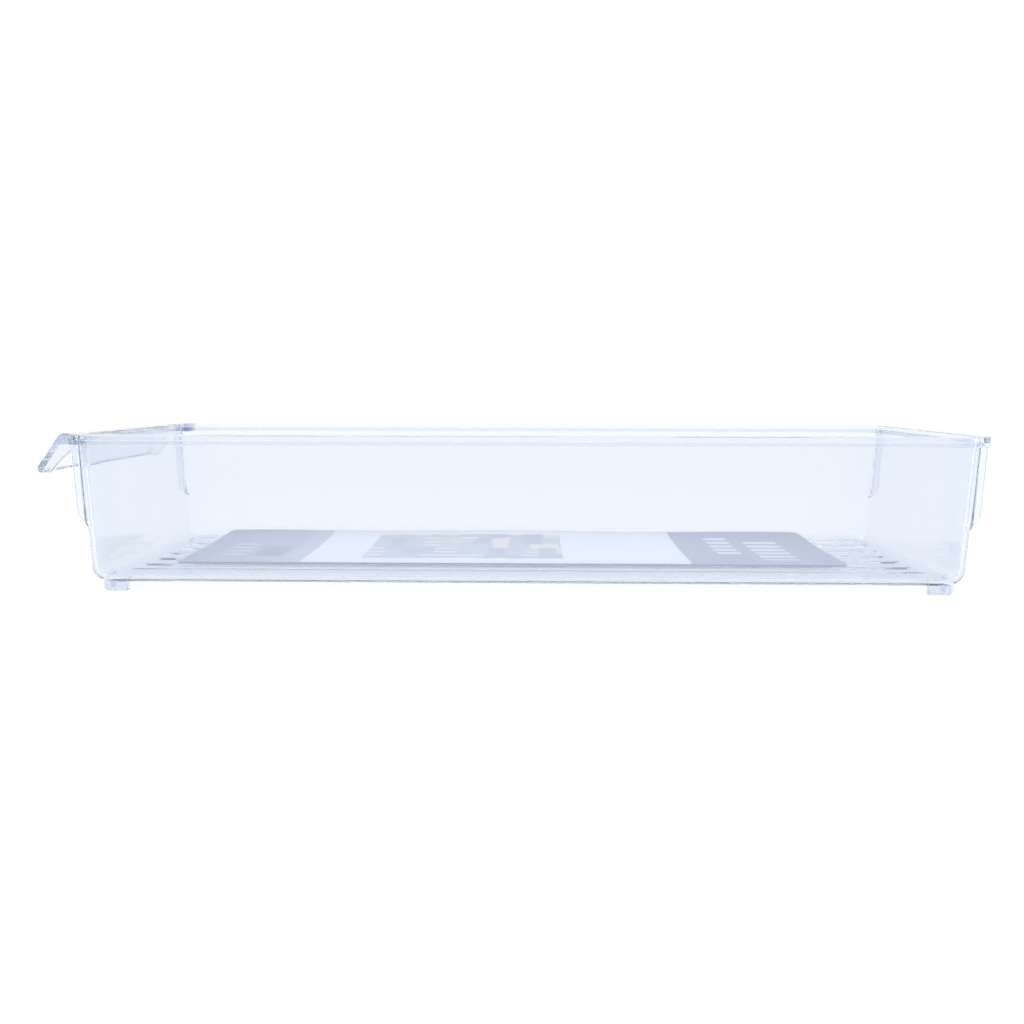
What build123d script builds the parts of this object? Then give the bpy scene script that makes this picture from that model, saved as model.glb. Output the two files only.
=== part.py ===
from build123d import *
from math import asin, atan2, cos, hypot, radians, sin, tan
import os

os.makedirs("parts", exist_ok=True)

# A clear, shallow pull-out tray for a fridge shelf, with a loose printed card lying on its floor.
# Millimetres, +Z up. The origin is under the middle of the whole length, on the surface that
# the feet stand on. The pull lip is at -X.

# Overall size
rim_length = 358.0
rim_width = 138.0
rim_top = 62.0
handle_reach = 13.2

# Walls and floor
wall_thickness = 2.0
floor_thickness = 2.2
wall_draft = 2.9
bottom_radius = 6.5
corner_spare = 1.7

# Rim: a flat plate round the mouth with a skirt hanging from its outer edge
rim_overhang = 3.8
rim_plate = 2.0
rim_skirt_depth = 4.0
rim_skirt_thickness = 1.8
rim_edge_radius = 0.7
mouth_edge_radius = 0.5

# Pull lip
handle_setback = 12.0
lip_flat = 3.8
lip_drop = 15.6
lip_thickness = 2.2
lip_tip_radius = 1.7
lip_tip_width = 5.0
lip_end_thickness = 2.0
lip_edge_radius = 0.8
lip_bend_radius = 3.0
lip_inner_bend_radius = 1.5
lip_heel_radius = 0.8
web_curve_out = 1.1
web_curve_down = 8.2

# Upright fins on both end walls, which keep a nested tray from jamming
fin_thickness = 1.6
fin_setback = 13.0
fin_inset = 0.6
fin_base_height = 26.5
fin_chamfer = 3.4
fin_flare = 1.0

# Raised strips along the floor
strip_width = 8.0
strip_pitch = 14.0
strip_height = 0.8
strip_side_margin = 6.0
strip_end_margin = 4.5
strip_end_radius = 3.4
strip_edge_radius = 0.3

# Feet: a short ridge round each corner of the underside
foot_height = 3.3
foot_overlap = 3.0
foot_leg = 11.0
foot_thickness = 2.4
foot_corner_radius = 5.0
foot_root = 1.6

# Printed card
card_thickness = 0.4
card_corner_radius = 4.0
card_room_handle_end = 17.3
card_room_far_end = 30.3
card_room_front = 26.0
card_room_back = 1.6

# Slack for telling faces apart by their height
level_tolerance = 0.01

# Places that follow from the sizes
tray_x = handle_reach / 2
draft_slope = tan(radians(wall_draft))
floor_top = foot_height + floor_thickness
wall_top_length = rim_length - 2 * rim_overhang
wall_top_width = rim_width - 2 * rim_overhang
inner_bottom_radius = bottom_radius - wall_thickness


def wall_inset(height):
    """How far a drafted wall face stands in at a height, from its place at the rim's top."""
    return (rim_top - height) * draft_slope


# The walls' corners are tightest at the bottom, where the bottom radius still has to pass
wall_top_radius = bottom_radius + corner_spare + wall_inset(foot_height)
rim_corner_radius = wall_top_radius + rim_overhang

flat_inset = rim_overhang + wall_thickness + wall_inset(floor_top) + inner_bottom_radius
flat_half_length = rim_length / 2 - flat_inset
flat_half_width = rim_width / 2 - flat_inset

# Pull lip in section, measured out from the rim's edge at -X and down from the rim's top
rim_edge_x = tray_x - rim_length / 2
lip_rise = hypot(handle_reach - lip_tip_radius - lip_flat, lip_drop - lip_tip_radius)
lip_lean = atan2(handle_reach - lip_tip_radius - lip_flat, lip_drop - lip_tip_radius)
lip_lean += asin(lip_tip_radius / lip_rise)
lip_miter = lip_thickness * tan((radians(90) - lip_lean) / 2)
lip_side = lip_thickness / cos(lip_lean)


def lip_point(out, down):
    """A point of the lip's section on the XZ plane."""
    return (rim_edge_x - out, rim_top - down)


def drafted_outline(height, inset):
    """Size and corner radius of the wall's outline at a height, set in by the inset."""
    move = wall_inset(height) + inset
    return (wall_top_length - 2 * move, wall_top_width - 2 * move, wall_top_radius - move)


def outline_face(length, width, radius):
    """Rounded outline centred on the tray, in the current sketch."""
    with Locations((tray_x, 0)):
        RectangleRounded(length, width, radius)


# Pull lip: a bent plate that runs out from the rim and down, closed by a broad web at each end
lip_knee = lip_point(lip_flat, 0)
lip_tip = lip_point(lip_flat + lip_drop * tan(lip_lean), lip_drop)
lip_heel = lip_point(handle_reach - lip_tip_width, lip_drop)
lip_root = lip_point(-rim_overhang - wall_thickness / 2, 0)
web_root = lip_point(-rim_overhang - wall_thickness / 2, rim_skirt_depth)
web_middle = lip_point(web_curve_out, web_curve_down)
handle_width = rim_width - 2 * handle_setback

# Hollow under the lip
lip_bottom = lip_drop + lip_thickness
under_knee = lip_point(lip_flat - lip_miter, lip_thickness)
under_tip = lip_point(lip_flat + lip_bottom * tan(lip_lean) - lip_side, lip_bottom)
under_root = lip_point(-rim_overhang, lip_bottom)
plate_root = lip_point(-rim_overhang, lip_thickness)

with BuildPart() as lip_webs:
    with BuildSketch(Plane.XZ) as web_section:
        with BuildLine():
            Polyline(web_root, lip_root, lip_knee, lip_tip, lip_heel)
            ThreePointArc(lip_heel, web_middle, web_root)
        make_face()
        fillet(web_section.vertices().sort_by_distance(lip_tip)[0], lip_tip_radius)
        fillet(web_section.vertices().sort_by_distance(lip_knee)[0], lip_bend_radius)
        fillet(web_section.vertices().sort_by_distance(lip_heel)[0], lip_heel_radius)
    extrude(amount=handle_width / 2, both=True)

with BuildPart() as lip_hollow:
    with BuildSketch(Plane.XZ) as hollow_section:
        Polygon(plate_root, under_knee, under_tip, under_root, align=None)
        fillet(hollow_section.vertices().sort_by_distance(under_knee)[0], lip_inner_bend_radius)
    extrude(amount=handle_width / 2 - lip_end_thickness, both=True)

with BuildPart() as pull_lip:
    add(lip_webs.part)
    add(lip_hollow.part, mode=Mode.SUBTRACT)
    lip_ends = pull_lip.faces().sort_by(Axis.Y)
    for end_face in (lip_ends[0], lip_ends[-1]):
        fillet(end_face.edges().filter_by(Axis.Z, reverse=True), lip_edge_radius)


# Fin of the end wall at +X: flared at its root, leaning with the wall, slanted at its lower end
fin_row = rim_width / 2 - fin_setback
fin_top = rim_top - rim_plate / 2
fin_reach = rim_overhang - fin_inset + rim_skirt_depth * draft_slope
fin_root_depth = wall_thickness / 2
fin_root_width = fin_thickness / 2 + fin_flare + fin_root_depth
fin_slant = fin_chamfer / fin_reach


def end_wall_x(height):
    """Outer face of the end wall at +X at a height, at the wall's middle."""
    return tray_x + wall_top_length / 2 - wall_inset(height)


def fin_bottom(out):
    """A point of the fin's slanted lower end on the XZ plane, at a distance out from the wall."""
    height = fin_base_height + out * fin_slant
    return (end_wall_x(height) + out, height)


fin_bottom_in = fin_bottom(-fin_root_depth)
fin_bottom_out = fin_bottom(fin_reach)
fin_start = fin_bottom_in[1]
fin_rise = fin_top - fin_start

with BuildPart() as fin:
    with BuildSketch(Plane.XY.offset(fin_start)):
        with BuildLine():
            Polyline(
                (end_wall_x(fin_start) - fin_root_depth, -fin_root_width),
                (end_wall_x(fin_start) + fin_flare, -fin_thickness / 2),
                (end_wall_x(fin_start) + fin_reach, -fin_thickness / 2),
                (end_wall_x(fin_start) + fin_reach, fin_thickness / 2),
                (end_wall_x(fin_start) + fin_flare, fin_thickness / 2),
                (end_wall_x(fin_start) - fin_root_depth, fin_root_width),
                close=True,
            )
        make_face()
    extrude(amount=fin_rise / cos(radians(wall_draft)), dir=(draft_slope, 0, 1))
    with BuildSketch(Plane.XZ):
        Polygon(fin_bottom_in, fin_bottom_out, (fin_bottom_out[0], fin_start), align=None)
    extrude(amount=fin_root_width, both=True, mode=Mode.SUBTRACT)


# Tray: floor, drafted walls, rim, lip, fins, strips and feet in one moulding
strip_length = 2 * (flat_half_length - strip_end_margin)
strip_field = 2 * (flat_half_width - strip_side_margin)
strip_count = int((strip_field - strip_width) / strip_pitch) + 1
strip_top = floor_top + strip_height


def level_span(height):
    """Lowest and highest place of a level face at a height."""
    return (height - level_tolerance, height + level_tolerance)


with BuildPart() as tray:
    with BuildSketch(Plane.XY.offset(foot_height)):
        outline_face(*drafted_outline(foot_height, 0))
    extrude(amount=rim_top - rim_plate - foot_height, taper=-wall_draft)
    fillet(tray.faces().sort_by(Axis.Z)[0].edges(), bottom_radius)

    # Rim plate and skirt
    with BuildSketch(Plane.XY.offset(rim_top - rim_plate)):
        outline_face(rim_length, rim_width, rim_corner_radius)
    extrude(amount=rim_plate)
    with BuildSketch(Plane.XY.offset(rim_top - rim_skirt_depth)):
        outline_face(rim_length, rim_width, rim_corner_radius)
        offset(amount=-rim_skirt_thickness, mode=Mode.SUBTRACT)
    extrude(amount=rim_skirt_depth)

    # Space inside, with a rounded floor edge
    with BuildSketch(Plane.XY.offset(floor_top)):
        outline_face(*drafted_outline(floor_top, wall_thickness))
    extrude(amount=rim_top - floor_top, taper=-wall_draft, mode=Mode.SUBTRACT)
    floor_face = tray.faces().filter_by_position(Axis.Z, *level_span(floor_top))[0]
    fillet(floor_face.edges(), inner_bottom_radius)
    mouth_face = tray.faces().sort_by(Axis.Z)[-1]
    fillet(mouth_face.outer_wire().edges(), rim_edge_radius)
    mouth_face = tray.faces().sort_by(Axis.Z)[-1]
    fillet(mouth_face.inner_wires()[0].edges(), mouth_edge_radius)

    add(pull_lip.part)

    # Fins on both end walls
    far_fins = [fin.part.moved(Location((0, row, 0))) for row in (-fin_row, fin_row)]
    lip_end_fins = [mirror(far, Plane.YZ.offset(tray_x)) for far in far_fins]
    add(far_fins + lip_end_fins)

    # Strips along the floor
    with BuildSketch(Plane.XY.offset(floor_top - floor_thickness / 2)):
        with Locations((tray_x, 0)):
            with GridLocations(0, strip_pitch, 1, strip_count):
                RectangleRounded(strip_length, strip_width, strip_end_radius)
    extrude(amount=floor_thickness / 2 + strip_height)
    strip_faces = tray.faces().filter_by_position(Axis.Z, *level_span(strip_top))
    fillet(strip_faces.edges(), strip_edge_radius)

    # Feet round the corners of the underside
    with BuildSketch():
        foot_length, foot_width, _ = drafted_outline(foot_height, bottom_radius - foot_overlap)
        outline_face(foot_length, foot_width, foot_corner_radius)
        offset(amount=-foot_thickness, mode=Mode.SUBTRACT)
        with Locations((tray_x, 0)):
            Rectangle(foot_length - 2 * foot_leg, rim_width, mode=Mode.SUBTRACT)
            Rectangle(rim_length, foot_width - 2 * foot_leg, mode=Mode.SUBTRACT)
    extrude(amount=foot_height + foot_root)

tray.part.label = "tray"
export_step(tray.part, "parts/tray.step")


# Printed card lying loose on the strips
card_length = 2 * flat_half_length - card_room_handle_end - card_room_far_end
card_width = 2 * flat_half_width - card_room_front - card_room_back
card_x = tray_x + (card_room_handle_end - card_room_far_end) / 2
card_y = (card_room_front - card_room_back) / 2

with BuildPart() as insert_card:
    with BuildSketch(Plane.XY.offset(strip_top)):
        with Locations((card_x, card_y)):
            RectangleRounded(card_length, card_width, card_corner_radius)
    extrude(amount=card_thickness)

insert_card.part.label = "insert_card"
export_step(insert_card.part, "parts/insert_card.step")
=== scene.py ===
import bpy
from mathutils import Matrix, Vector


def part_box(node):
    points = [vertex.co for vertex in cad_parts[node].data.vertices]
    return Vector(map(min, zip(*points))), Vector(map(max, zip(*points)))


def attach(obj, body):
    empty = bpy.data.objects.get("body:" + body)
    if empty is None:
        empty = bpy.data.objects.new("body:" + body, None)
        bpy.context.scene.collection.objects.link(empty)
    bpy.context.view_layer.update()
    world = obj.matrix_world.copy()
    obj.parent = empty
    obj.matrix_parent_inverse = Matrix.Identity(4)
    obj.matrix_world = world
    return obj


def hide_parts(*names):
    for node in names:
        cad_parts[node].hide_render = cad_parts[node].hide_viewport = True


bl_info = {
    "name": "Clear Fridge Organizer",
    "version": (1, 0, 0),
    "blender": (4, 5, 0),
    "location": "3D View > Sidebar > Organizer",
    "description": "Builds a clear moulded pull-out tray with its printed card and a plain studio",
    "category": "Object",
}

from math import asin, atan2, ceil, cos, hypot, pi, radians, sin, tan

import bmesh
import bpy
from bpy.props import (
    FloatProperty,
    FloatVectorProperty,
    PointerProperty,
)
from mathutils import Matrix, Vector

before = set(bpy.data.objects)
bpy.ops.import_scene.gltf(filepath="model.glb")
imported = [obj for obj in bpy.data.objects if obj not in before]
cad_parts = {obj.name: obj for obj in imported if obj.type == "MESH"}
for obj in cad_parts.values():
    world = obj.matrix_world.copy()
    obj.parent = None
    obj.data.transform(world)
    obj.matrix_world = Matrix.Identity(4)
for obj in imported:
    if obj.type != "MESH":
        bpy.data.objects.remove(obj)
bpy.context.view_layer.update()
tray_low, tray_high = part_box("tray")
card_low, card_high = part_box("insert_card")

MM = 0.001
PLASTIC = "moulded_clear_plastic"
PRINT = "card_print"
ARC_STEP = radians(6.0)
CORNER_STEPS = 22
BEVEL_STEPS = 3
SHARP_ANGLE = radians(28.0)
RIPPLE_PHASE = 0.6
WELD = 0.002 * MM
SOFT_EDGE = 0.2 * MM
SENSOR_WIDTH = 36.0
CLEAR_BOUNCES = 64
SEE_THROUGH_BOUNCES = 16


# Settings


def length(label, millimetres, description):
    """A length property in metres, given here in millimetres."""
    return FloatProperty(
        name=label,
        description=description,
        default=millimetres * MM,
        min=0.0,
        precision=5,
        subtype="DISTANCE",
        unit="LENGTH",
    )


def angle(label, degrees, description):
    """An angle property, given here in degrees."""
    return FloatProperty(
        name=label,
        description=description,
        default=radians(degrees),
        subtype="ANGLE",
        unit="ROTATION",
    )


def amount(label, default, description):
    """A plain number without a unit."""
    return FloatProperty(name=label, description=description, default=default, precision=4)


def colour(label, default, description):
    """A linear colour."""
    return FloatVectorProperty(
        name=label,
        description=description,
        default=default,
        min=0.0,
        size=3,
        subtype="COLOR",
    )


def area(label, sides, description):
    """A rectangle on the card: start and end along it, then across it, as shares."""
    return FloatVectorProperty(name=label, description=description, default=sides, size=4)


class TraySizes(bpy.types.PropertyGroup):
    """Sizes of the tray's walls, floor and rim."""

    rim_length: length("Rim length", 358.0, "Outside length of the rim")
    rim_width: length("Rim width", 138.0, "Outside width of the rim")
    rim_top: length("Height", 62.0, "Height of the rim above the feet")
    wall: length("Wall", 2.0, "Wall thickness")
    floor: length("Floor", 2.2, "Floor thickness")
    draft: angle("Draft", 2.9, "Lean of the walls")
    bottom_radius: length("Bottom radius", 6.5, "Outer radius between walls and floor")
    corner_spare: length("Corner spare", 1.7, "Corner radius left at the foot of the walls")
    overhang: length("Rim overhang", 3.8, "How far the rim stands out past the walls")
    plate: length("Rim plate", 2.0, "Thickness of the rim's flat")
    skirt_depth: length("Skirt depth", 4.0, "Depth of the skirt under the rim's edge")
    skirt: length("Skirt", 1.8, "Thickness of the skirt")
    rim_edge: length("Rim edge radius", 0.7, "Rounding of the rim's outer edge")
    mouth_edge: length("Mouth edge radius", 0.5, "Rounding of the mouth's edge")
    skirt_edge: length("Skirt edge radius", 0.35, "Rounding of the skirt's lower edge")


class LipSizes(bpy.types.PropertyGroup):
    """Sizes of the pull lip."""

    setback: length("Setback", 12.0, "Distance of the lip's ends from the rim's sides")
    flat: length("Flat", 3.8, "Length of the lip's level part")
    drop: length("Drop", 15.6, "How far the tip hangs below the rim's top")
    thickness: length("Thickness", 2.2, "Thickness of the lip's plate")
    tip_radius: length("Tip radius", 1.7, "Rounding of the tip")
    tip_width: length("Tip width", 5.0, "Width of the end webs at the tip")
    end_thickness: length("End thickness", 2.0, "Thickness of the end webs")
    end_edge: length("End edge radius", 0.8, "Rounding of the end webs")
    bend_radius: length("Bend radius", 3.0, "Outer radius of the bend")
    inner_bend: length("Inner bend radius", 1.5, "Inner radius of the bend")
    heel_radius: length("Heel radius", 0.8, "Rounding of the heel")
    web_out: length("Web curve out", 1.1, "Reach of the web's hollow edge at its middle")
    web_down: length("Web curve down", 8.2, "Depth of the web's hollow edge at its middle")


class FinSizes(bpy.types.PropertyGroup):
    """Sizes of the upright fins on the end walls."""

    thickness: length("Thickness", 1.6, "Thickness of a fin")
    setback: length("Setback", 13.0, "Distance of a fin from the rim's side")
    inset: length("Inset", 0.6, "Distance of a fin's edge behind the rim's edge")
    base_height: length("Base height", 26.5, "Height of a fin's lowest point")
    chamfer: length("Chamfer", 3.4, "Height of the slanted lower end")
    edge: length("Edge radius", 0.25, "Rounding of a fin's edges")
    flare: length("Root flare", 1.0, "How far a fin widens at the wall")


class StripSizes(bpy.types.PropertyGroup):
    """Sizes of the raised strips along the floor."""

    width: length("Width", 8.0, "Width of a strip")
    pitch: length("Pitch", 14.0, "Distance between two strips")
    height: length("Height", 0.8, "Height of a strip above the floor")
    side_margin: length("Side margin", 6.0, "Least distance from the side walls' rounding")
    end_margin: length("End margin", 4.5, "Distance from the end walls' rounding")
    end_round: length("End rounding", 3.4, "Rounding of a strip's ends, seen from above")
    edge: length("Edge radius", 0.3, "Rounding of a strip's upper edges")


class FootSizes(bpy.types.PropertyGroup):
    """Sizes of the corner feet."""

    height: length("Height", 3.3, "Height of the feet")
    overlap: length("Overlap", 3.0, "How far a foot reaches under the bottom's rounding")
    leg: length("Leg", 11.0, "Length of a foot's leg")
    thickness: length("Thickness", 2.4, "Thickness of a foot's ridge")
    corner_radius: length("Corner radius", 5.0, "Outer rounding of a foot")
    root: length("Root", 1.6, "How far a foot runs up into the floor")
    edge: length("Edge radius", 0.3, "Rounding of a foot's lower edges")


class CardSizes(bpy.types.PropertyGroup):
    """Sizes of the loose printed card."""

    thickness: length("Thickness", 0.4, "Thickness of the card")
    corner_radius: length("Corner radius", 4.0, "Rounding of the card's corners")
    clearance: length("Clearance", 0.05, "Gap between the card and the strips")
    curl: length("Curl", 1.6, "How far the far edge has curled up")
    curl_width: length("Curl width", 46.0, "Width of the curled part")
    ripple: length("Ripple", 0.25, "Height of the faint ripple along the card")
    ripple_length: length("Ripple length", 120.0, "Length of one ripple")
    grid: length("Grid", 5.0, "Distance between the card's folds in its mesh")


class PlasticFinish(bpy.types.PropertyGroup):
    """Look of the clear plastic."""

    tint: colour("Tint", (0.91, 0.922, 0.95), "Colour of light that passes a wall squarely")
    # painted shade: darker tint at the tray's ends and along its floor
    painted_end_shade: colour("End tint", (0.82, 0.88, 0.95), "Tint at the ends and along the floor")
    # painted shade: darker tint on the feet under the tray
    painted_foot_shade: colour("Foot tint", (0.74, 0.80, 0.92), "Tint of the feet")
    # painted shade under the lip's plate at both ends of the lip, with its extent below
    painted_lip_shade: colour("Lip tint", (0.44, 0.50, 0.63), "Tint at the ends of the lip's flat")
    painted_lip_shade_depth: length("Lip tint depth", 4.2, "Height of the lip tint below the rim's top")
    painted_lip_shade_reach: length("Lip tint reach", 8.0, "How far the lip tint reaches round the corners")
    painted_lip_shade_margin: length("Lip tint margin", 0.4, "How far inside the lip's ends its tint starts")
    painted_lip_shade_blur: length("Lip tint blur", 0.5, "Softness of the lip tint's lower edge")
    ends_from: length("Ends from", 158.0, "Where the end tint begins, from the tray's middle")
    ends_width: length("Ends width", 28.0, "Distance over which the end tint grows")
    # painted shade: darker colour where a surface is seen at a grazing angle
    painted_graze_shade: colour("Edge tint", (0.66, 0.71, 0.84), "Colour of light that grazes a surface")
    depth_tint: colour("Depth tint", (0.10, 0.42, 0.80), "Colour that deep plastic takes on")
    density: amount("Depth density", 0.9, "Strength of the depth tint, per metre")
    ior: amount("Index of refraction", 1.5, "Index of refraction")
    clarity: amount("Clarity", 0.98, "Share of light that passes without scattering")
    gloss: amount("Roughness", 0.025, "Lowest roughness")
    haze: amount("Haze", 0.03, "Extra roughness where the surface is hazy")
    wave: length("Wave", 0.004, "Depth of the surface's faint waves")


class CardPrint(bpy.types.PropertyGroup):
    """Colours and layout of what is printed on the card."""

    paper: colour("Paper", (0.79, 0.84, 0.885), "Unprinted card")
    band: colour("Band", (0.475, 0.525, 0.64), "End bands")
    band_fade: colour("Band fade", (0.565, 0.625, 0.71), "End bands where the print is thin")
    far_band: colour("Far band", (0.425, 0.485, 0.59), "Band at the end away from the lip")
    teal: colour("Teal", (0.565, 0.64, 0.69), "Ground of the picture field")
    slate: colour("Slate", (0.50, 0.56, 0.67), "Cool blocks in the picture field")
    sand: colour("Sand", (0.81, 0.79, 0.76), "Pale bars in the picture field")
    rose: colour("Rose", (0.83, 0.77, 0.74), "Warm blocks in the picture field")
    mark: colour("Mark", (0.76, 0.80, 0.87), "Marks on the end bands")
    shade: colour("Shade", (0.37, 0.45, 0.56), "Dark block on an end band")
    border: length("Border", 1.1, "Width of the line along the card's edges")
    left_end: amount("Left band", 0.185, "Where the left band ends, as a share of the card")
    right_start: amount("Right band", 0.77, "Where the right band starts, as a share of the card")
    short_bars: area("Short bars", (0.045, 0.085, 0.16, 0.60), "Bars on the left band")
    block: area("Block", (0.10, 0.145, 0.20, 0.48), "Dark block on the left band")
    field: area("Picture field", (0.27, 0.58, 0.15, 0.89), "Field of soft blocks")
    inner_bars: area("Inner bars", (0.825, 0.862, 0.28, 0.86), "Inner bars on the right band")
    outer_bars: area("Outer bars", (0.885, 0.94, 0.14, 0.72), "Outer bars on the right band")
    bar_pitch: length("Bar pitch", 9.0, "Distance between two bars")


class StudioSettings(bpy.types.PropertyGroup):
    """Camera, floor and light. A heading goes from -1 at the camera to 1 away from it."""

    camera_place: FloatVectorProperty(
        name="Camera place",
        description="Where the camera stands",
        default=(0.008136, -0.445789, 0.079839),
        size=3,
        precision=5,
        subtype="TRANSLATION",
        unit="LENGTH",
    )
    camera_yaw: angle("Camera yaw", 1.01, "Turn of the camera to the left")
    camera_pitch: angle("Camera pitch", 7.04, "Tilt of the camera downwards")
    camera_roll: angle("Camera roll", 0.12, "Turn of the camera about its own axis")
    lens: amount("Lens", 35.172, "Focal length on a 36 mm wide sensor")
    floor_size: length("Floor size", 12000.0, "Side of the floor")
    floor_colour: colour("Floor", (0.16, 0.163, 0.166), "Colour of the floor")
    floor_glow: amount("Floor glow", 0.90, "Light that comes up through the floor")
    backdrop: amount("Backdrop light", 1.04, "Brightness of the backdrop")
    panel: amount("Panel light", 1.04, "Brightness of the light behind the tray")
    near: colour("Camera side", (0.56, 0.65, 0.88), "Light from the camera's side")
    beside: colour("Sides", (0.76, 0.83, 0.96), "Light from both sides of the tray")
    boxes: amount("Side boxes", 1.7, "Brightness of the light boxes just behind the tray's ends")
    side: amount("Upper light", 1.42, "Brightness of the studio's walls above the panels")
    side_tone: colour("Upper light's tone", (0.9, 0.95, 1.05), "Tone of the upper light")
    top: amount("Top light", 1.22, "Brightness of the overhead panel")
    near_limit: amount("Camera side's limit", -0.55, "Heading where the camera's side ends")
    beside_limit: amount("Sides' limit", 0.02, "Heading where the sides end")
    boxes_limit: amount("Side boxes' limit", 0.35, "Heading where the side boxes end")
    side_from: amount("Upper light's start", 0.40, "Sine of the angle above level where it starts")
    top_from: amount("Top light's start", 0.84, "Sine of the angle above level where it starts")


class OrganizerSettings(bpy.types.PropertyGroup):
    """All settings of the organizer."""

    tray: PointerProperty(type=TraySizes)
    lip: PointerProperty(type=LipSizes)
    fins: PointerProperty(type=FinSizes)
    strips: PointerProperty(type=StripSizes)
    feet: PointerProperty(type=FootSizes)
    card: PointerProperty(type=CardSizes)
    plastic: PointerProperty(type=PlasticFinish)
    print: PointerProperty(type=CardPrint)
    studio: PointerProperty(type=StudioSettings)


# Nodes


class Socket:
    """One output of a node, so that maths on it reads as plain Python."""

    def __init__(self, tree, link):
        self.tree = tree
        self.link = link

    def maths(self, operation, *values, clamp=False):
        settings = {"operation": operation, "use_clamp": clamp}
        return self.tree.node("ShaderNodeMath", settings, values)

    def __add__(self, other):
        return self.maths("ADD", self, other)

    def __radd__(self, other):
        return self.maths("ADD", other, self)

    def __sub__(self, other):
        return self.maths("SUBTRACT", self, other)

    def __rsub__(self, other):
        return self.maths("SUBTRACT", other, self)

    def __mul__(self, other):
        return self.maths("MULTIPLY", self, other)

    def __rmul__(self, other):
        return self.maths("MULTIPLY", other, self)

    def __truediv__(self, other):
        return self.maths("DIVIDE", self, other)

    def __rtruediv__(self, other):
        return self.maths("DIVIDE", other, self)

    def __abs__(self):
        return self.maths("ABSOLUTE", self)

    def over(self, edge, blur=SOFT_EDGE):
        """1 where the value is above the edge, with a soft step that is blur wide."""
        return self.maths("DIVIDE", self - (edge - blur / 2), blur, clamp=True)

    def under(self, edge, blur=SOFT_EDGE):
        """1 where the value is below the edge, with a soft step that is blur wide."""
        return self.maths("DIVIDE", (edge + blur / 2) - self, blur, clamp=True)

    def repeat(self, pitch):
        """The value's distance from the nearest multiple of the pitch, with its sign."""
        return self.maths("WRAP", self, pitch / 2, -pitch / 2)


class Tree:
    """A node tree that grows by one method."""

    def __init__(self, tree):
        self.tree = tree

    def node(self, kind, settings=None, values=(), output=0):
        """Adds a node, sets it up, then fills its inputs with values or links."""
        made = self.tree.nodes.new(kind)
        count = len(self.tree.nodes)
        made.location = (count % 9 * 220, -(count // 9) * 280)
        for name, value in (settings or {}).items():
            setattr(made, name, value)
        pairs = values.items() if isinstance(values, dict) else enumerate(values)
        for key, value in pairs:
            if isinstance(value, Socket):
                self.tree.links.new(value.link, made.inputs[key])
            else:
                made.inputs[key].default_value = value
        return Socket(self, made.outputs[output]) if made.outputs else made

    def mix(self, factor, low, high):
        """Blends two colours."""
        settings = {"data_type": "RGBA"}
        return self.node("ShaderNodeMix", settings, {0: factor, 6: low, 7: high}, 2)

    def coordinate(self, place, axis):
        """One coordinate of a place or direction."""
        return self.node("ShaderNodeSeparateXYZ", {}, {0: place}, "XYZ".index(axis))

    def noise(self, place, scale, detail=3.0):
        """Smooth noise between 0 and 1."""
        values = {"Vector": place, "Scale": scale, "Detail": detail}
        return self.node("ShaderNodeTexNoise", {}, values)

    def stretch(self, place, scale):
        """Scales a place by three numbers."""
        return self.node("ShaderNodeVectorMath", {"operation": "MULTIPLY"}, (place, scale))

    def bump(self, height, depth, strength=1.0):
        """The normal bent by a height between 0 and 1, times a depth."""
        values = {"Strength": strength, "Distance": depth, "Height": height}
        return self.node("ShaderNodeBump", {}, values)

    def principled(self, values, **others):
        """Ends a material with a principled surface and any other output."""
        surface = self.node("ShaderNodeBsdfPrincipled", {}, values)
        self.node("ShaderNodeOutputMaterial", {}, {"Surface": surface, **others})

    def joined(self, *shapes):
        """Joins several geometries."""
        join = self.tree.nodes.new("GeometryNodeJoinGeometry")
        for shape in shapes:
            self.tree.links.new(shape.link, join.inputs[0])
        return Socket(self, join.outputs[0])

    def moved(self, shape, centre):
        """Moves a geometry by a vector."""
        values = {"Geometry": shape, "Translation": centre}
        return self.node("GeometryNodeTransform", {}, values)

    def row(self, count, start, step):
        """Points in a straight row."""
        values = {"Count": count, "Start Location": start, "Offset": step}
        return self.node("GeometryNodeMeshLine", {}, values)

    def copies(self, points, shape, **others):
        """A copy of a geometry on each point."""
        values = {"Points": points, "Instance": shape, **others}
        return self.node("GeometryNodeInstanceOnPoints", {}, values)


def rgba(shade):
    """A property's colour as a socket's value."""
    return (*shade, 1.0)


def grey(value):
    """A neutral colour as a socket's value."""
    return (value, value, value, 1.0)


def patch(u, v, sides, blur):
    """1 inside a rectangle on the card, with edges blurred along and across it."""
    start, end, low, high = sides
    stretch = u.over(start, blur[0]) * u.under(end, blur[0])
    return stretch * v.over(low, blur[1]) * v.under(high, blur[1])


def new_material(name):
    """An empty material and its tree."""
    material = bpy.data.materials.new(name)
    material.use_nodes = True
    material.node_tree.nodes.clear()
    return material, Tree(material.node_tree)


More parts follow.
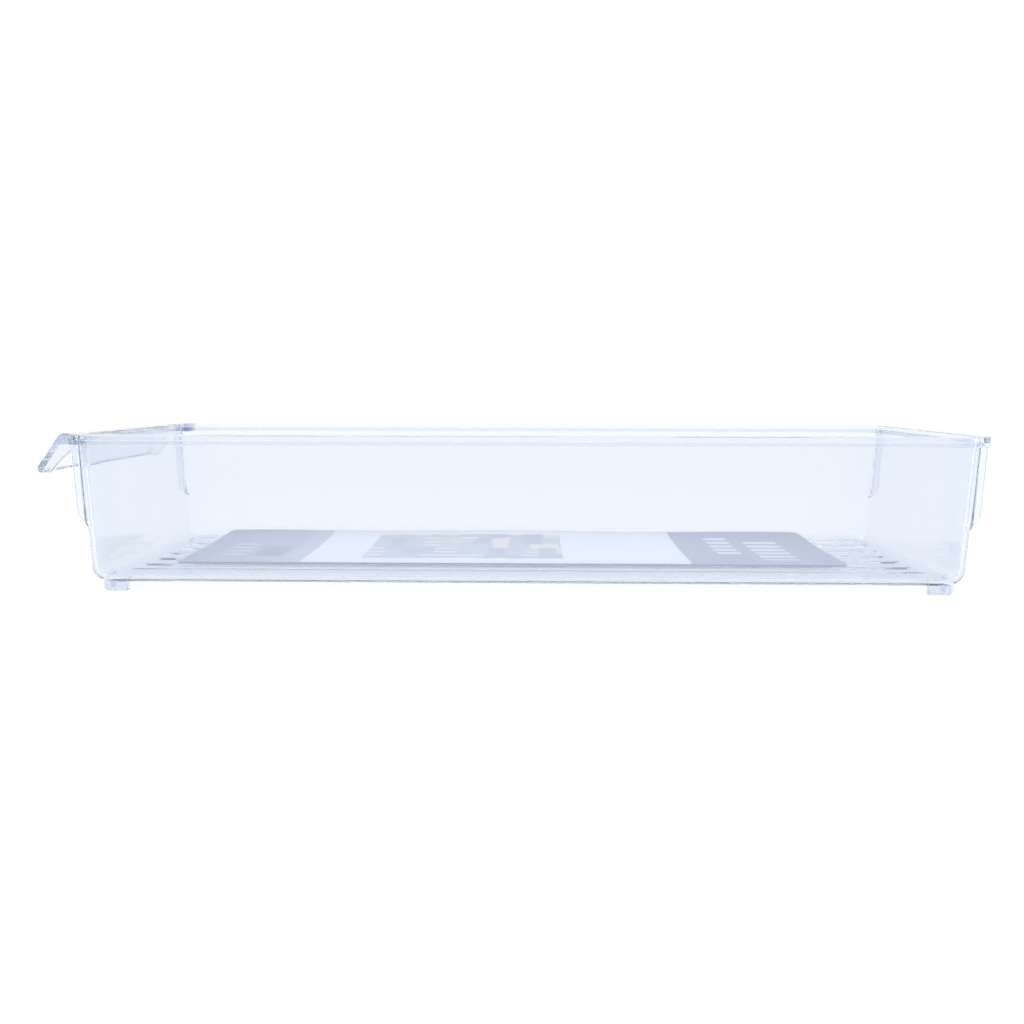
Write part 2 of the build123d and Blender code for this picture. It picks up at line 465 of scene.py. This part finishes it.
def clear_plastic(finish, tray, lip, floor_level):
    """Clear blue-white moulded plastic with waves and scuffs.

    Its tint has painted shade at the ends, along the floor, at the feet, under the lip and at
    grazing angles.
    """
    material, tree = new_material(PLASTIC)
    place = tree.node("ShaderNodeTexCoord", output=3)
    along = tree.coordinate(place, "X") - tray_centre(tray)
    end = abs(along)
    side = abs(tree.coordinate(place, "Y"))
    height = tree.coordinate(place, "Z")

    # Surface: faint waves, cloudy haze and long scuffs
    waves = tree.noise(tree.stretch(place, (9.0, 22.0, 30.0)), 1.0, detail=2.0)
    haze = tree.noise(place, 26.0, detail=4.0)
    scuffs = tree.noise(tree.stretch(place, (60.0, 900.0, 900.0)), 1.0, detail=2.0)
    scuffed = scuffs.over(0.66, blur=0.08)
    roughness = haze.over(0.5, blur=0.4) * finish.haze + scuffed * 0.05 + finish.gloss

    # Painted shade: the tint is darker at both ends and along the floor, at the feet, and where the
    # lip ends
    # thick is a mask of painted shade at the ends and along the floor, not of thicker plastic
    thick = end.over(finish.ends_from + finish.ends_width / 2, finish.ends_width)
    thick = thick * end.under(tray.rim_length / 2, tray.plate)
    thick = thick.maths("MAXIMUM", thick, height.under(2 * floor_level, floor_level))
    tint = tree.mix(thick, rgba(finish.tint), rgba(finish.painted_end_shade))
    # painted shade on the feet, below the floor's level
    tint = tree.mix(height.under(floor_level, floor_level / 4), tint, rgba(finish.painted_foot_shade))
    # painted shade under the lip's plate, at both ends of the lip
    reach = finish.painted_lip_shade_reach
    lip_end = side.over(tray.rim_width / 2 - lip.setback - finish.painted_lip_shade_margin)
    lip_end = lip_end * along.under(reach - tray.rim_length / 2, reach / 4)
    lip_end = lip_end * height.over(tray.rim_top - finish.painted_lip_shade_depth, finish.painted_lip_shade_blur)
    tint = tree.mix(lip_end, tint, rgba(finish.painted_lip_shade))
    # painted shade: darker where the surface grazes the view
    graze = tree.node("ShaderNodeLayerWeight", {}, {"Blend": 0.5}, 1)
    tint = tree.mix(graze * graze * graze, tint, rgba(finish.painted_graze_shade))

    depth = {"Color": rgba(finish.depth_tint), "Density": finish.density}
    tree.principled(
        {
            "Base Color": tint,
            "Roughness": roughness,
            "IOR": finish.ior,
            "Transmission Weight": finish.clarity,
            "Normal": tree.bump(waves, finish.wave),
        },
        Volume=tree.node("ShaderNodeVolumeAbsorption", {}, depth),
    )
    return material


def printed_card(colours):
    """Semi-gloss printed card: end bands, a picture field, plain marks and a thin border."""
    material, tree = new_material(PRINT)
    place = tree.node("ShaderNodeTexCoord", output=3)
    along = tree.coordinate(place, "X")
    across = tree.coordinate(place, "Y")
    facing = tree.node("ShaderNodeNewGeometry", output=1)
    upward = tree.coordinate(facing, "Z").over(0.2, blur=0.1)
    size = card_high - card_low
    u = (along - card_low.x) / size.x
    v = (across - card_low.y) / size.y
    grain = tree.noise(place, 900.0)
    paper = tree.mix(grain, rgba(colours.paper), rgba(value * 1.05 for value in colours.paper))

    # End bands, thinner towards the middle, with bars and a block
    left_band = u.under(colours.left_end, blur=0.002)
    right_band = u.over(colours.right_start, blur=0.002)
    cloud = tree.noise(place, 40.0)
    worn = u.over(0.15, blur=0.03) * left_band * 0.7 + cloud.over(0.55, blur=0.3) * 0.4
    band = tree.mix(worn, rgba(colours.band), rgba(colours.band_fade))
    band = tree.mix(right_band, band, rgba(colours.far_band))
    base = tree.mix(left_band + right_band, paper, band)
    rows = abs((across / colours.bar_pitch).repeat(1.0))
    inner = patch(u, v, colours.inner_bars, blur=(0.003, 0.01))
    outer = patch(u, v, colours.outer_bars, blur=(0.003, 0.01))
    short = patch(u, v, colours.short_bars, blur=(0.003, 0.01))
    bars = rows.under(0.27, blur=0.08) * (inner + outer)
    bars = bars + rows.under(0.18, blur=0.08) * short * 0.6
    base = tree.mix(bars, base, rgba(colours.mark))
    block = patch(u, v, colours.block, blur=(0.01, 0.02))
    base = tree.mix(block, base, rgba(colours.shade))

    # Picture field: a mosaic of soft blocks with pale bars
    inside = patch(u, v, colours.field, blur=(0.002, 0.004))
    tiles = tree.node(
        "ShaderNodeTexVoronoi",
        {"distance": "CHEBYCHEV"},
        {"Vector": tree.stretch(place, (125.0, 72.0, 1.0)), "Scale": 1.0, "Randomness": 0.55},
        1,
    )
    pick = tree.node("ShaderNodeSeparateColor", {}, {0: tiles}, 0)
    lift = tree.node("ShaderNodeSeparateColor", {}, {0: tiles}, 1)
    field = tree.mix(pick.under(0.30, blur=0.04), rgba(colours.teal), rgba(colours.slate))
    warm = pick.over(0.80, blur=0.04) * u.over(0.40, blur=0.06)
    field = tree.mix(warm, field, rgba(colours.rose))
    ladder = rows.under(0.26, blur=0.1) * lift.over(0.66, blur=0.04)
    field = tree.mix(ladder, field, rgba(colours.sand))
    field = tree.mix(tree.noise(place, 120.0) * 0.35, field, rgba(colours.band_fade))
    base = tree.mix(inside, base, field)

    # Thin line along the edges, and a paler print underneath
    middle = (card_low + card_high) / 2
    to_end = size.x / 2 - abs(along - middle.x)
    to_edge = to_end.maths("MINIMUM", to_end, size.y / 2 - abs(across - middle.y))
    base = tree.mix(to_edge.under(colours.border), base, rgba(colours.band))
    base = tree.mix((1.0 - upward) * 0.35, base, paper)
    tree.principled(
        {
            "Base Color": base,
            "Roughness": grain * 0.15 + 0.32,
            "Normal": tree.bump(grain, 0.05 * MM, strength=0.3),
        }
    )
    return material


def studio_floor(studio):
    """Pale matt floor that the light turns white."""
    material, tree = new_material("studio_floor")
    place = tree.node("ShaderNodeTexCoord", output=3)
    speckle = tree.noise(place, 120.0, detail=2.0)
    paler = tuple(value * 1.03 for value in studio.floor_colour)
    shade = tree.mix(speckle, rgba(studio.floor_colour), rgba(paler))
    tree.principled(
        {
            "Base Color": shade,
            "Roughness": 0.9,
            "Specular IOR Level": 0.0,
            "Emission Color": grey(1.0),
            "Emission Strength": studio.floor_glow,
        }
    )
    return material


def studio_light(studio):
    """A world that is white to the camera and lights the tray by direction."""
    world = bpy.data.worlds.new("studio_light")
    world.use_nodes = True
    world.node_tree.nodes.clear()
    tree = Tree(world.node_tree)
    direction = tree.node("ShaderNodeTexCoord", output=0)
    across = tree.coordinate(direction, "X")
    ahead = tree.coordinate(direction, "Y")
    rise = tree.coordinate(direction, "Z")
    heading = ahead / across.maths("SQRT", across * across + ahead * ahead)
    boxes = heading.under(studio.boxes_limit, blur=0.1)
    beside = heading.under(studio.beside_limit, blur=0.1)
    nearer = heading.under(studio.near_limit, blur=0.5)
    upper = rgba(studio.side * tone for tone in studio.side_tone)
    light = tree.mix(boxes, grey(studio.panel), grey(studio.boxes))
    light = tree.mix(beside, light, rgba(studio.beside))
    light = tree.mix(nearer, light, rgba(studio.near))
    light = tree.mix(rise.over(studio.side_from, blur=0.12), light, upper)
    light = tree.mix(rise.over(studio.top_from, blur=0.08), light, grey(studio.top))
    seen = tree.node("ShaderNodeLightPath", output=0)
    light = tree.mix(seen, light, grey(studio.backdrop))
    glow = tree.node("ShaderNodeBackground", {}, {"Color": light, "Strength": 1.0})
    tree.node("ShaderNodeOutputWorld", {}, {"Surface": glow})
    return world


# Shapes


def rounded_path(corners, closed):
    """Points along straight runs with an arc at each corner of (x, y, radius)."""
    points = []
    last = len(corners) - 1
    for i, (x, y, radius) in enumerate(corners):
        corner = Vector((x, y))
        if radius <= 0.0 or (not closed and i in (0, last)):
            points.append(corner)
            continue
        before = (Vector(corners[i - 1][:2]) - corner).normalized()
        after = (Vector(corners[(i + 1) % len(corners)][:2]) - corner).normalized()
        half = before.angle(after) / 2
        turn = pi - 2 * half
        centre = corner + (before + after).normalized() * (radius / sin(half))
        start = corner + before * (radius / tan(half)) - centre
        way = 1 if before.x * after.y - before.y * after.x < 0 else -1
        steps = max(2, ceil(turn / ARC_STEP))
        for step in range(steps + 1):
            spun = Matrix.Rotation(way * turn * step / steps, 2) @ start
            points.append(centre + spun)
    return points


def rectangle(low_x, low_y, high_x, high_y, radius):
    """Corners of a rectangle, each with the same radius."""
    corners = [(low_x, low_y), (high_x, low_y), (high_x, high_y), (low_x, high_y)]
    return [(x, y, radius) for x, y in corners]


def mesh_object(name, verts, faces=(), edges=()):
    """A new object in the scene with the given mesh."""
    mesh = bpy.data.meshes.new(name)
    mesh.from_pydata([tuple(v) for v in verts], list(edges), list(faces))
    made = bpy.data.objects.new(name, mesh)
    bpy.context.scene.collection.objects.link(made)
    return made


def prism(name, outline, low, high, axis, bevel=0.0):
    """A closed prism over an outline along an axis, with its end faces' edges rounded."""
    places = {
        "Y": lambda p, d: (p.x, d, p.y),
        "Z": lambda p, d: (p.x, p.y, d),
    }
    place = places[axis]
    count = len(outline)
    verts = [place(p, low) for p in outline] + [place(p, high) for p in outline]
    faces = [tuple(range(count)), tuple(range(2 * count - 1, count - 1, -1))]
    faces += [(i, count + i, count + (i + 1) % count, (i + 1) % count) for i in range(count)]
    made = mesh_object(name, verts, faces)
    shape = bmesh.new()
    shape.from_mesh(made.data)
    shape.faces.ensure_lookup_table()
    if bevel > 0.0:
        rims = list(shape.faces[0].edges) + list(shape.faces[1].edges)
        bmesh.ops.bevel(
            shape,
            geom=rims,
            offset=bevel,
            segments=BEVEL_STEPS,
            profile=0.5,
            affect="EDGES",
            clamp_overlap=True,
        )
    shape.to_mesh(made.data)
    shape.free()
    tidy(made)
    return made


def settled_mesh(thing):
    """The object's mesh with its modifiers applied and removed."""
    bpy.context.view_layer.update()
    evaluated = thing.evaluated_get(bpy.context.evaluated_depsgraph_get())
    mesh = bpy.data.meshes.new_from_object(evaluated)
    mesh.name = thing.name
    thing.modifiers.clear()
    thing.data = mesh
    return thing


def geometry_tree(name, inputs):
    """A geometry node tree with named inputs, and its first node's outputs by name."""
    tree = bpy.data.node_groups.new(name, "GeometryNodeTree")
    tree.interface.new_socket("Geometry", in_out="INPUT", socket_type="NodeSocketGeometry")
    for label, kind in inputs.items():
        tree.interface.new_socket(label, in_out="INPUT", socket_type="NodeSocket" + kind)
    tree.interface.new_socket("Geometry", in_out="OUTPUT", socket_type="NodeSocketGeometry")
    grown = Tree(tree)
    entry = tree.nodes.new("NodeGroupInput")
    return grown, {socket.name: Socket(grown, socket) for socket in entry.outputs if socket.name}


def close_tree(grown, shape, material):
    """Ends a geometry node tree with plain geometry in the given material."""
    real = grown.node("GeometryNodeRealizeInstances", {}, {"Geometry": shape})
    done = grown.node("GeometryNodeSetMaterial", {}, {"Geometry": real, "Material": material})
    grown.node("NodeGroupOutput", {}, {"Geometry": done})
    return grown.tree


def run_tree(thing, tree, values):
    """Runs a geometry node tree on an object and keeps the plain result."""
    modifier = thing.modifiers.new(tree.name, "NODES")
    modifier.node_group = tree
    for item in tree.interface.items_tree:
        if item.in_out == "INPUT" and item.name in values:
            modifier[item.identifier] = values[item.name]
    return settled_mesh(thing)


def tidy(thing, fill=False):
    """Merges doubles, closes open rims if asked, and turns all faces outwards."""
    shape = bmesh.new()
    shape.from_mesh(thing.data)
    bmesh.ops.remove_doubles(shape, verts=shape.verts, dist=WELD)
    if fill:
        rims = [e for e in shape.edges if e.is_boundary]
        bmesh.ops.holes_fill(shape, edges=rims, sides=0)
    bmesh.ops.recalc_face_normals(shape, faces=shape.faces)
    if shape.calc_volume(signed=True) < 0:
        bmesh.ops.reverse_faces(shape, faces=shape.faces)
    open_edges = sum(1 for e in shape.edges if not e.is_manifold)
    shape.to_mesh(thing.data)
    shape.free()
    return open_edges


def combine(body, others, operation):
    """Joins other closed shapes to the body, or cuts them from it, and removes them."""
    for other in others:
        change = body.modifiers.new(other.name, "BOOLEAN")
        change.operation = operation
        change.solver = "EXACT"
        change.object = other
        settled_mesh(body)
        bpy.data.objects.remove(other)
        if tidy(body):
            raise RuntimeError(f"{body.name} isn't one closed shape")


def smooth_flats(thing):
    """Smooths the rounded faces while the flat ones stay flat."""
    thing.data.shade_smooth()
    thing.data.set_sharp_from_angle(angle=SHARP_ANGLE)
    weighted = thing.modifiers.new("weighted", "WEIGHTED_NORMAL")
    weighted.mode = "FACE_AREA"
    weighted.keep_sharp = True
    settled_mesh(thing)


def arc_points(start, middle, end, count=12):
    """Points of the arc from start through middle to end, without its first stretch."""
    (ax, ay), (bx, by), (cx, cy) = start, middle, end
    d = 2 * (ax * (by - cy) + bx * (cy - ay) + cx * (ay - by))
    a, b, c = ax * ax + ay * ay, bx * bx + by * by, cx * cx + cy * cy
    ux = (a * (by - cy) + b * (cy - ay) + c * (ay - by)) / d
    uy = (a * (cx - bx) + b * (ax - cx) + c * (bx - ax)) / d
    centre = Vector((ux, uy))
    first, last = Vector(start) - centre, Vector(end) - centre
    sweep = first.angle_signed(last)
    turns = [Matrix.Rotation(-sweep * step / count, 2) for step in range(2, count + 1)]
    return [tuple(centre + turn @ first) for turn in turns]


def wall_inset(tray, height):
    """How far a drafted wall face stands in at a height, from its place at the rim's top."""
    return (tray.rim_top - height) * tan(tray.draft)


def floor_top(settings):
    """Height of the floor's upper face."""
    return settings.feet.height + settings.tray.floor


def inner_radius(tray):
    """Inner radius between walls and floor."""
    return tray.bottom_radius - tray.wall


def flat_inset(settings):
    """Distance of the floor's flat from the rim's outer edge."""
    tray = settings.tray
    inset = wall_inset(tray, floor_top(settings))
    return tray.overhang + tray.wall + inset + inner_radius(tray)


def tray_centre(tray):
    """Middle of the rim along the tray."""
    return tray_high.x - tray.rim_length / 2


def rim_radius(settings):
    """Outer corner radius of the rim."""
    tray = settings.tray
    top_radius = tray.bottom_radius + tray.corner_spare + wall_inset(tray, settings.feet.height)
    return top_radius + tray.overhang


def shell_section(settings):
    """Section of wall and rim: inset from the rim's edge, and height."""
    tray = settings.tray
    low = settings.feet.height
    inside = tray.overhang + tray.wall
    under_plate = tray.rim_top - tray.plate
    skirt_end = tray.rim_top - tray.skirt_depth
    edge = tray.skirt_edge
    last_run = 0.5 * MM  # level stretch that the last arc ends on
    corners = [
        (flat_inset(settings), low, 0.0),
        (tray.overhang + wall_inset(tray, low), low, tray.bottom_radius),
        (tray.overhang + wall_inset(tray, under_plate), under_plate, edge),
        (tray.skirt, under_plate, edge),
        (tray.skirt, skirt_end, edge),
        (0.0, skirt_end, edge),
        (0.0, tray.rim_top, tray.rim_edge),
        (inside, tray.rim_top, tray.mouth_edge),
        (inside + wall_inset(tray, floor_top(settings)), floor_top(settings), inner_radius(tray)),
        (flat_inset(settings) + last_run, floor_top(settings), 0.0),
    ]
    return rounded_path(corners, False)


def sweep_tree(material):
    """Geometry nodes that carry a section round a rounded rectangle."""
    tree, given = geometry_tree(
        "carry_section_round_rim",
        {
            "Length": "Float",
            "Width": "Float",
            "Corner Radius": "Float",
            "Corner Steps": "Int",
            "Centre": "Vector",
        },
    )
    outline = tree.node(
        "GeometryNodeCurvePrimitiveQuadrilateral",
        {},
        {"Width": given["Length"], "Height": given["Width"]},
    )
    fillet = {"Curve": outline, "Count": given["Corner Steps"], "Radius": given["Corner Radius"]}
    rounded = tree.node("GeometryNodeFilletCurve", {"mode": "POLY"}, fillet)
    upright = tree.node("GeometryNodeSetCurveNormal", {"mode": "Z_UP"}, {"Curve": rounded})
    section = tree.node("GeometryNodeMeshToCurve", {}, {"Mesh": given["Geometry"]})
    sweep = {"Curve": upright, "Profile Curve": section}
    swept = tree.node("GeometryNodeCurveToMesh", {}, sweep)
    return close_tree(tree, tree.moved(swept, given["Centre"]), material)


class ORGANIZER_OT_shell(bpy.types.Operator):
    """Makes the tray's floor, walls and rim"""

    bl_idname = "organizer.shell"
    bl_label = "Tray Shell"

    def execute(self, context):
        settings = context.scene.organizer
        section = shell_section(settings)
        steps = [(i, i + 1) for i in range(len(section) - 1)]
        shell = mesh_object("shell", [(-p.x, -p.y, 0.0) for p in section], edges=steps)
        values = {
            "Length": settings.tray.rim_length,
            "Width": settings.tray.rim_width,
            "Corner Radius": rim_radius(settings),
            "Corner Steps": CORNER_STEPS,
            "Centre": (tray_centre(settings.tray), 0.0, 0.0),
        }
        run_tree(shell, sweep_tree(bpy.data.materials[PLASTIC]), values)
        if tidy(shell, fill=True):
            raise RuntimeError("the tray's shell isn't closed")
        return {"FINISHED"}


class ORGANIZER_OT_lip(bpy.types.Operator):
    """Makes the pull lip with its hollow underside"""

    bl_idname = "organizer.lip"
    bl_label = "Pull Lip"

    def execute(self, context):
        settings = context.scene.organizer
        tray, lip = settings.tray, settings.lip
        edge_x = tray_centre(tray) - tray.rim_length / 2
        reach = edge_x - tray_low.x

        def point(out, down, radius=0.0):
            return (edge_x - out, tray.rim_top - down, radius)

        run = reach - lip.tip_radius - lip.flat
        rise = lip.drop - lip.tip_radius
        lean = atan2(run, rise) + asin(lip.tip_radius / hypot(run, rise))
        miter = lip.thickness * tan((pi / 2 - lean) / 2)
        side = lip.thickness / cos(lean)
        root = -tray.overhang - tray.wall / 2
        heel = reach - lip.tip_width
        bow = arc_points(
            point(heel, lip.drop)[:2],
            point(lip.web_out, lip.web_down)[:2],
            point(root, tray.skirt_depth)[:2],
        )
        webs = [
            point(root, 0.0),
            point(lip.flat, 0.0, lip.bend_radius),
            point(lip.flat + lip.drop * tan(lean), lip.drop, lip.tip_radius),
            point(heel, lip.drop, lip.heel_radius),
        ]
        webs += [(x, z, 0.0) for x, z in bow]
        bottom = lip.drop + lip.thickness
        hollow = [
            point(-tray.overhang, lip.thickness),
            point(lip.flat - miter, lip.thickness, lip.inner_bend),
            point(lip.flat + bottom * tan(lean) - side, bottom),
            point(-tray.overhang, bottom),
        ]
        half = tray.rim_width / 2 - lip.setback
        body = prism("lip", rounded_path(webs, True), -half, half, "Y", lip.end_edge)
        half -= lip.end_thickness
        gap = prism("lip_gap", rounded_path(hollow, True), -half, half, "Y")
        combine(body, [gap], "DIFFERENCE")
        return {"FINISHED"}


class ORGANIZER_OT_fins(bpy.types.Operator):
    """Makes the upright fins on both end walls"""

    bl_idname = "organizer.fins"
    bl_label = "End Fins"

    def execute(self, context):
        settings = context.scene.organizer
        tray, fins = settings.tray, settings.fins
        top = tray.rim_top - tray.plate / 2
        lean = tan(tray.draft)
        reach = tray.overhang - fins.inset + tray.skirt_depth * lean
        half, deep = fins.thickness / 2, tray.wall / 2
        corners = [
            (-deep, -half - fins.flare - deep, 0.0),
            (fins.flare, -half, 0.0),
            (reach, -half, fins.edge),
            (reach, half, fins.edge),
            (fins.flare, half, 0.0),
            (-deep, half + fins.flare + deep, 0.0),
        ]
        fin = prism("fins", rounded_path(corners, True), fins.base_height, top, "Z")
        for vert in fin.data.vertices:
            if vert.co.z < (fins.base_height + top) / 2:
                vert.co.z += fins.chamfer * vert.co.x / reach
            wall_face = tray.rim_length / 2 - tray.overhang - wall_inset(tray, vert.co.z)
            vert.co.x += wall_face
        tree, given = geometry_tree("fins_on_end_walls", {"Row": "Float", "Centre": "Vector"})
        turned = tree.node(
            "GeometryNodeTransform",
            {},
            {"Geometry": given["Geometry"], "Rotation": (0.0, 0.0, pi)},
        )
        pair = tree.joined(given["Geometry"], turned)
        spread = tree.node("ShaderNodeCombineXYZ", {}, {"Y": given["Row"]})
        spread_back = tree.node("ShaderNodeCombineXYZ", {}, {"Y": given["Row"] * -2.0})
        copies = tree.copies(tree.row(2, spread, spread_back), pair)
        placed = tree.moved(copies, given["Centre"])
        close_tree(tree, placed, bpy.data.materials[PLASTIC])
        row = tray.rim_width / 2 - fins.setback
        centre = (tray_centre(tray), 0.0, 0.0)
        run_tree(fin, tree.tree, {"Row": row, "Centre": centre})
        return {"FINISHED"}


class ORGANIZER_OT_strips(bpy.types.Operator):
    """Makes the raised strips along the floor"""

    bl_idname = "organizer.strips"
    bl_label = "Floor Strips"

    def execute(self, context):
        settings = context.scene.organizer
        tray, strips = settings.tray, settings.strips
        half_length = tray.rim_length / 2 - flat_inset(settings) - strips.end_margin
        field = tray.rim_width - 2 * flat_inset(settings) - 2 * strips.side_margin
        count = int((field - strips.width) / strips.pitch) + 1
        low = floor_top(settings) - tray.floor / 2
        high = floor_top(settings) + strips.height
        half_width = strips.width / 2
        corners = rectangle(-half_length, -half_width, half_length, half_width, strips.end_round)
        strip = prism("strips", rounded_path(corners, True), low, high, "Z", strips.edge)
        tree, given = geometry_tree(
            "strips_across_floor",
            {"Count": "Int", "Pitch": "Float", "Centre": "Float"},
        )
        back = (given["Count"] - 1.0) * given["Pitch"] * -0.5
        start = tree.node("ShaderNodeCombineXYZ", {}, {"X": given["Centre"], "Y": back})
        step = tree.node("ShaderNodeCombineXYZ", {}, {"Y": given["Pitch"]})
        copies = tree.copies(tree.row(given["Count"], start, step), given["Geometry"])
        close_tree(tree, copies, bpy.data.materials[PLASTIC])
        values = {"Count": count, "Pitch": strips.pitch, "Centre": tray_centre(tray)}
        run_tree(strip, tree.tree, values)
        return {"FINISHED"}


class ORGANIZER_OT_feet(bpy.types.Operator):
    """Makes the ridges that the tray stands on"""

    bl_idname = "organizer.feet"
    bl_label = "Corner Feet"

    def execute(self, context):
        settings = context.scene.organizer
        tray, feet = settings.tray, settings.feet
        inset = tray.overhang + wall_inset(tray, feet.height) + tray.bottom_radius - feet.overlap
        leg, thick = feet.leg, feet.thickness
        corners = [
            (-leg, 0.0, 0.0),
            (0.0, 0.0, feet.corner_radius),
            (0.0, -leg, 0.0),
            (-thick, -leg, 0.0),
            (-thick, -thick, feet.corner_radius - thick),
            (-leg, -thick, 0.0),
        ]
        outline = rounded_path(corners, True)
        foot = prism("feet", outline, 0.0, feet.height + feet.root, "Z", feet.edge)
        tree, given = geometry_tree(
            "feet_under_corners",
            {"Length": "Float", "Width": "Float", "Centre": "Vector"},
        )
        corners = tree.node(
            "GeometryNodeCurvePrimitiveQuadrilateral",
            {},
            {"Width": given["Length"], "Height": given["Width"]},
        )
        points = tree.node("GeometryNodeCurveToMesh", {}, {"Curve": corners})
        quarter = tree.node("GeometryNodeInputIndex") * (pi / 2)
        turn = tree.node("ShaderNodeCombineXYZ", {}, {"Z": quarter})
        copies = tree.copies(points, given["Geometry"], Rotation=turn)
        placed = tree.moved(copies, given["Centre"])
        close_tree(tree, placed, bpy.data.materials[PLASTIC])
        values = {
            "Length": tray.rim_length - 2 * inset,
            "Width": tray.rim_width - 2 * inset,
            "Centre": (tray_centre(tray), 0.0, 0.0),
        }
        run_tree(foot, tree.tree, values)
        return {"FINISHED"}


class ORGANIZER_OT_tray(bpy.types.Operator):
    """Welds shell, lip, fins, strips and feet into one clear moulding"""

    bl_idname = "organizer.tray"
    bl_label = "Join Tray"

    def execute(self, context):
        shell = bpy.data.objects["shell"]
        parts = [bpy.data.objects[name] for name in ("lip", "fins", "strips", "feet")]
        combine(shell, parts, "UNION")
        shell.name = "tray_moulding"
        shell.data.name = "tray_moulding"
        smooth_flats(shell)
        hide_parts("tray")
        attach(shell, "tray")
        return {"FINISHED"}


class ORGANIZER_OT_card(bpy.types.Operator):
    """Makes the printed card that lies loose in the tray"""

    bl_idname = "organizer.card"
    bl_label = "Printed Card"

    def execute(self, context):
        sizes = context.scene.organizer.card
        low, high = card_low, card_high
        corners = rectangle(low.x, low.y, high.x, high.y, sizes.corner_radius)
        verts = [(p.x, p.y, 0.0) for p in rounded_path(corners, True)]
        card = mesh_object("card", verts, [tuple(range(len(verts)))])
        shape = bmesh.new()
        shape.from_mesh(card.data)
        for axis in (0, 1):
            folds = int((high[axis] - low[axis]) / sizes.grid)
            for fold in range(1, folds):
                place = Vector((0.0, 0.0, 0.0))
                place[axis] = low[axis] + (high[axis] - low[axis]) * fold / folds
                normal = Vector((0.0, 0.0, 0.0))
                normal[axis] = 1.0
                everything = shape.verts[:] + shape.edges[:] + shape.faces[:]
                bmesh.ops.bisect_plane(shape, geom=everything, plane_co=place, plane_no=normal)
        rest = low.z + sizes.clearance
        for vert in shape.verts:
            bend = max(vert.co.y - (high.y - sizes.curl_width), 0.0) / sizes.curl_width
            wave = sin(2 * pi * (vert.co.x - low.x) / sizes.ripple_length + RIPPLE_PHASE)
            vert.co.z = rest + sizes.curl * bend**2 + sizes.ripple * bend * (1.0 + wave)
        shape.to_mesh(card.data)
        shape.free()
        card.data.shade_smooth()
        card.data.materials.append(bpy.data.materials[PRINT])
        sheet = card.modifiers.new("thickness", "SOLIDIFY")
        sheet.thickness = sizes.thickness
        sheet.offset = 1.0
        settled_mesh(card)
        tidy(card)
        card.data.set_sharp_from_angle(angle=SHARP_ANGLE)
        card.name = "printed_insert"
        card.data.name = "printed_insert"
        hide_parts("insert_card")
        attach(card, "card")
        return {"FINISHED"}


class ORGANIZER_OT_stage(bpy.types.Operator):
    """Makes the camera, the pale floor and the soft light"""

    bl_idname = "organizer.stage"
    bl_label = "Stage"

    def execute(self, context):
        studio = context.scene.organizer.studio
        camera_data = bpy.data.cameras.new("camera")
        camera_data.lens = studio.lens
        camera_data.sensor_width = SENSOR_WIDTH
        camera_data.clip_start = 10.0 * MM
        camera = bpy.data.objects.new("camera", camera_data)
        context.scene.collection.objects.link(camera)
        turned = Matrix.Rotation(studio.camera_yaw, 4, "Z")
        tipped = Matrix.Rotation(pi / 2 - studio.camera_pitch, 4, "X")
        rolled = Matrix.Rotation(studio.camera_roll, 4, "Z")
        place = Matrix.Translation(studio.camera_place)
        camera.matrix_world = place @ turned @ tipped @ rolled
        context.scene.camera = camera

        half = studio.floor_size / 2
        corners = [(-half, -half, 0.0), (half, -half, 0.0), (half, half, 0.0), (-half, half, 0.0)]
        floor = mesh_object("studio_floor", corners, [(0, 1, 2, 3)])
        floor.data.materials.append(studio_floor(studio))

        scene = context.scene
        scene.world = studio_light(studio)
        scene.view_settings.view_transform = "Standard"
        scene.cycles.max_bounces = CLEAR_BOUNCES
        scene.cycles.transmission_bounces = CLEAR_BOUNCES
        scene.cycles.glossy_bounces = CLEAR_BOUNCES
        scene.cycles.transparent_max_bounces = SEE_THROUGH_BOUNCES
        return {"FINISHED"}


class ORGANIZER_PT_panel(bpy.types.Panel):
    """Lists the organizer's pieces and settings"""

    bl_idname = "ORGANIZER_PT_panel"
    bl_label = "Fridge Organizer"
    bl_space_type = "VIEW_3D"
    bl_region_type = "UI"
    bl_category = "Organizer"

    def draw(self, context):
        settings = context.scene.organizer
        for step in STEPS:
            self.layout.operator(step)
        for group in OrganizerSettings.__annotations__:
            box = self.layout.box()
            box.label(text=group.capitalize())
            values = getattr(settings, group)
            for name in values.__annotations__:
                box.prop(values, name)


CLASSES = (
    TraySizes,
    LipSizes,
    FinSizes,
    StripSizes,
    FootSizes,
    CardSizes,
    PlasticFinish,
    CardPrint,
    StudioSettings,
    OrganizerSettings,
    ORGANIZER_OT_shell,
    ORGANIZER_OT_lip,
    ORGANIZER_OT_fins,
    ORGANIZER_OT_strips,
    ORGANIZER_OT_feet,
    ORGANIZER_OT_tray,
    ORGANIZER_OT_card,
    ORGANIZER_OT_stage,
    ORGANIZER_PT_panel,
)


def register():
    for kind in CLASSES:
        bpy.utils.register_class(kind)
    bpy.types.Scene.organizer = PointerProperty(type=OrganizerSettings)


def unregister():
    del bpy.types.Scene.organizer
    for kind in reversed(CLASSES):
        bpy.utils.unregister_class(kind)


STEPS = (
    "organizer.stage",
    "organizer.shell",
    "organizer.lip",
    "organizer.fins",
    "organizer.strips",
    "organizer.feet",
    "organizer.tray",
    "organizer.card",
)


def main():
    register()
    settings = bpy.context.scene.organizer
    clear_plastic(settings.plastic, settings.tray, settings.lip, settings.feet.height)
    printed_card(settings.print)
    for step in STEPS:
        group, name = step.split(".")
        getattr(getattr(bpy.ops, group), name)()


if __name__ == "__main__":
    main()
